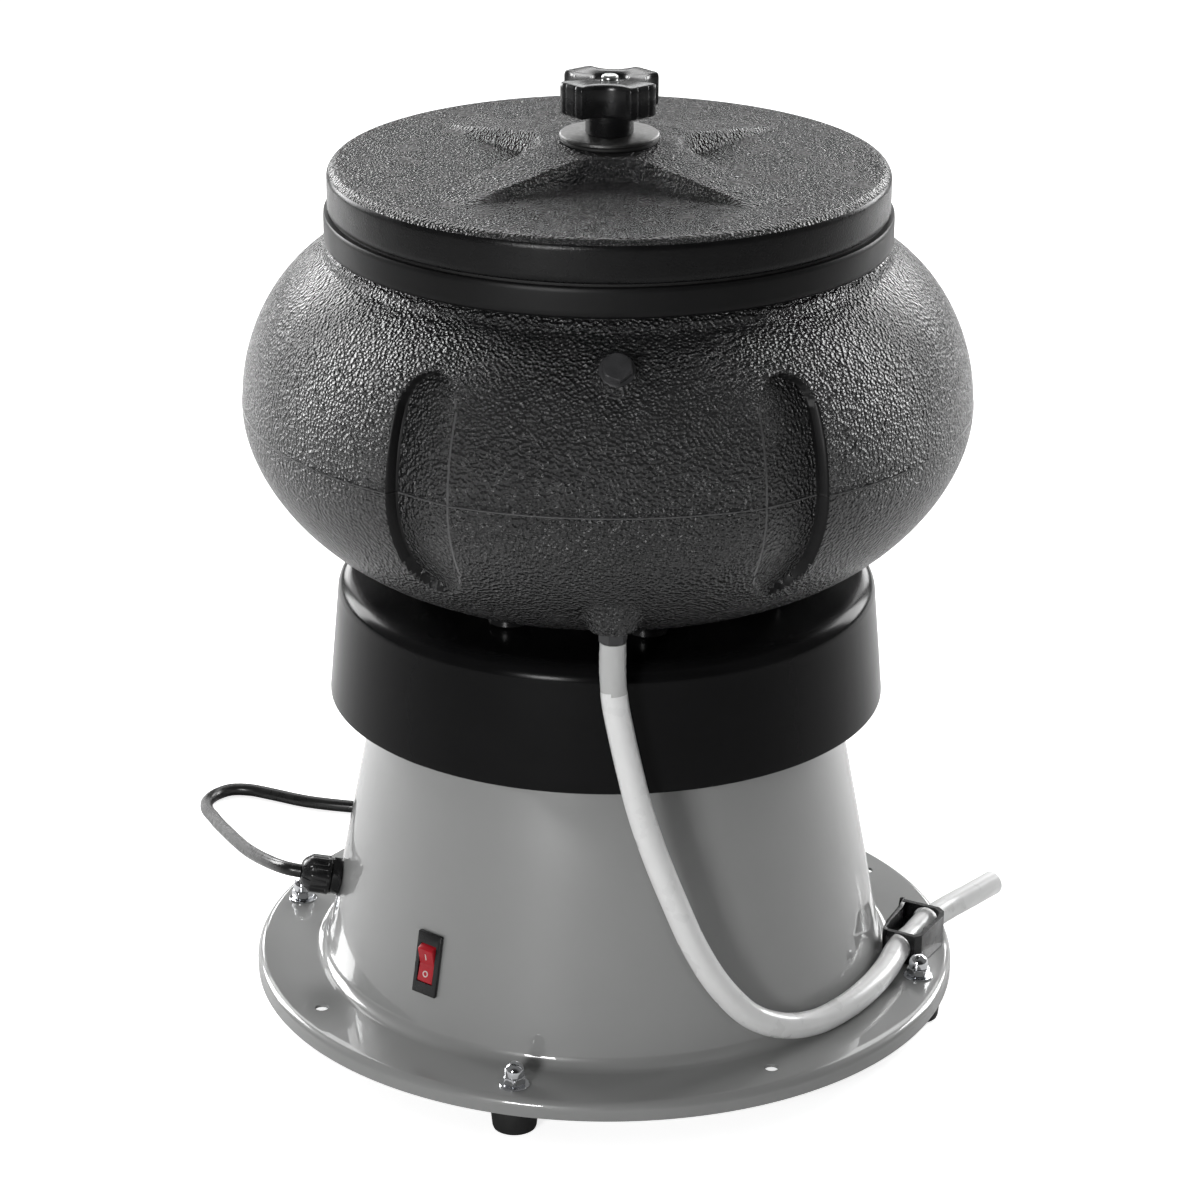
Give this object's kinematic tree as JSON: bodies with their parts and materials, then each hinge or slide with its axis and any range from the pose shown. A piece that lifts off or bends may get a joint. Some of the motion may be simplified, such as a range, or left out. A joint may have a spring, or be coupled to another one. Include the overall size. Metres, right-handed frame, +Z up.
{
  "type": "vibratory rock tumbler",
  "caption": "Ring-shaped tumbling bowl with a screwed-down lid, riding with its motor on springs over a flanged steel cone base, with a drain hose and a power cord.",
  "frame": {"origin": "on the floor under the bowl's centre axis, at the bottom of the rubber feet", "axes": "+Z up along the bowl and motor axis, -Y is the drain side (front), +X is to the right seen from the front"},
  "size_m": [0.4307, 0.4797, 0.4675],
  "materials": {
    "light_grey_paint": "glossy",
    "black_rubber": "matte",
    "dark_bowl_rubber": "pebbled, low sheen",
    "black_lid": "pebbled, low sheen",
    "black_shroud": "satin",
    "black_plastic": "satin",
    "dark_grey_plastic": "matte",
    "red_rocker": "satin",
    "chrome_nut": "polished",
    "steel": "brushed",
    "zinc_steel": "zinc plated",
    "spring_steel": "bright wire",
    "cast_aluminium": "as cast",
    "lamination_steel": "stacked sheets",
    "weight_iron": "as cast",
    "copper_winding": "lacquered wire",
    "brass": "turned",
    "clear_hose": "translucent",
    "cord_jacket": "satin"
  },
  "bodies": {
    "base": {"base_housing": "light_grey_paint", "rubber_feet": "black_rubber", "foot_screws": "zinc_steel", "acorn_nuts": "chrome_nut", "switch_housing": "black_plastic", "switch_terminals": "brass", "gland_body": "black_plastic", "gland_dome_nut": "black_plastic", "gland_locknut": "black_plastic", "lower_spring_seats": "zinc_steel", "spring_1": "spring_steel", "spring_2": "spring_steel", "spring_3": "spring_steel", "spring_4": "spring_steel", "hose_clamp_body": "black_plastic", "power_cord": "cord_jacket", "cord_coil": "cord_jacket", "coil_tie": "black_plastic", "plug_lead": "cord_jacket", "plug_body": "black_plastic", "plug_blades": "brass", "plug_earth_pin": "brass"},
    "bowl_unit": {"upper_spring_seats": "zinc_steel", "motor_plate": "steel", "splash_shroud": "black_shroud", "bowl_spacers": "black_plastic", "bowl_bolts": "zinc_steel", "bowl": "dark_bowl_rubber", "centre_stud": "zinc_steel", "stud_nuts": "zinc_steel", "upper_end_bell": "cast_aluminium", "lower_end_bell": "cast_aluminium", "stator_core": "lamination_steel", "upper_winding": "copper_winding", "lower_winding": "copper_winding", "upper_bearing": "steel", "lower_bearing": "steel", "motor_through_bolts": "zinc_steel", "motor_screws": "zinc_steel", "side_plug": "dark_grey_plastic", "drain_nut": "dark_grey_plastic", "drain_barb": "dark_grey_plastic", "drain_hose": "clear_hose"},
    "rotor": {"motor_shaft": "steel", "rotor_core": "lamination_steel", "upper_weight": "weight_iron", "lower_weight": "weight_iron", "weight_set_screws": "black_plastic"},
    "lid_unit": {"lid": "black_lid", "lid_gasket": "black_rubber", "rubber_washer": "black_rubber", "steel_washer": "steel"},
    "knob_core": {"knob_insert": "brass"},
    "knob_grip": {"knob": "black_plastic"},
    "switch_key": {"switch_rocker": "red_rocker"},
    "clamp_latch": {"hose_clamp_latch": "black_plastic"}
  },
  "joints": [
    {"name": "bowl_bounce", "type": "slide", "parent": "base", "child": "bowl_unit", "axis": [0, 0, 1], "range_m": [-0.003, 0.003], "stiffness_N_per_m": 30000, "springref_m": 0.003, "deforming": ["spring_1", "spring_2", "spring_3", "spring_4", "drain_hose"]},
    {"name": "rotor_spin", "type": "hinge", "parent": "bowl_unit", "child": "rotor", "pos_m": [0, 0, 0.15], "axis": [0, 0, 1], "continuous": true},
    {"name": "lid_lift", "type": "slide", "parent": "bowl_unit", "child": "lid_unit", "axis": [0, 0, 1], "range_m": [0, 0.1]},
    {"name": "knob_climb", "type": "slide", "parent": "lid_unit", "child": "knob_core", "axis": [0, 0, 1], "range_m": [0, 0.005]},
    {"name": "knob_turn", "type": "hinge", "parent": "knob_core", "child": "knob_grip", "pos_m": [0, 0, 0.455], "axis": [0, 0, 1], "range_deg": [0, 1440]},
    {"name": "switch_rock", "type": "hinge", "parent": "base", "child": "switch_key", "pos_m": [-0.08192, -0.10117, 0.05793], "axis": [0.7771, -0.6293, 0], "range_deg": [-16, 0]},
    {"name": "clamp_release", "type": "hinge", "parent": "base", "child": "clamp_latch", "pos_m": [0.13994, -0.02198, 0.03], "axis": [0, 0, 1], "range_deg": [0, 12]}
  ],
  "couplings": [
    {"joint": "knob_turn", "follows": "knob_climb", "rad_per_m": 5026.5}
  ]
}
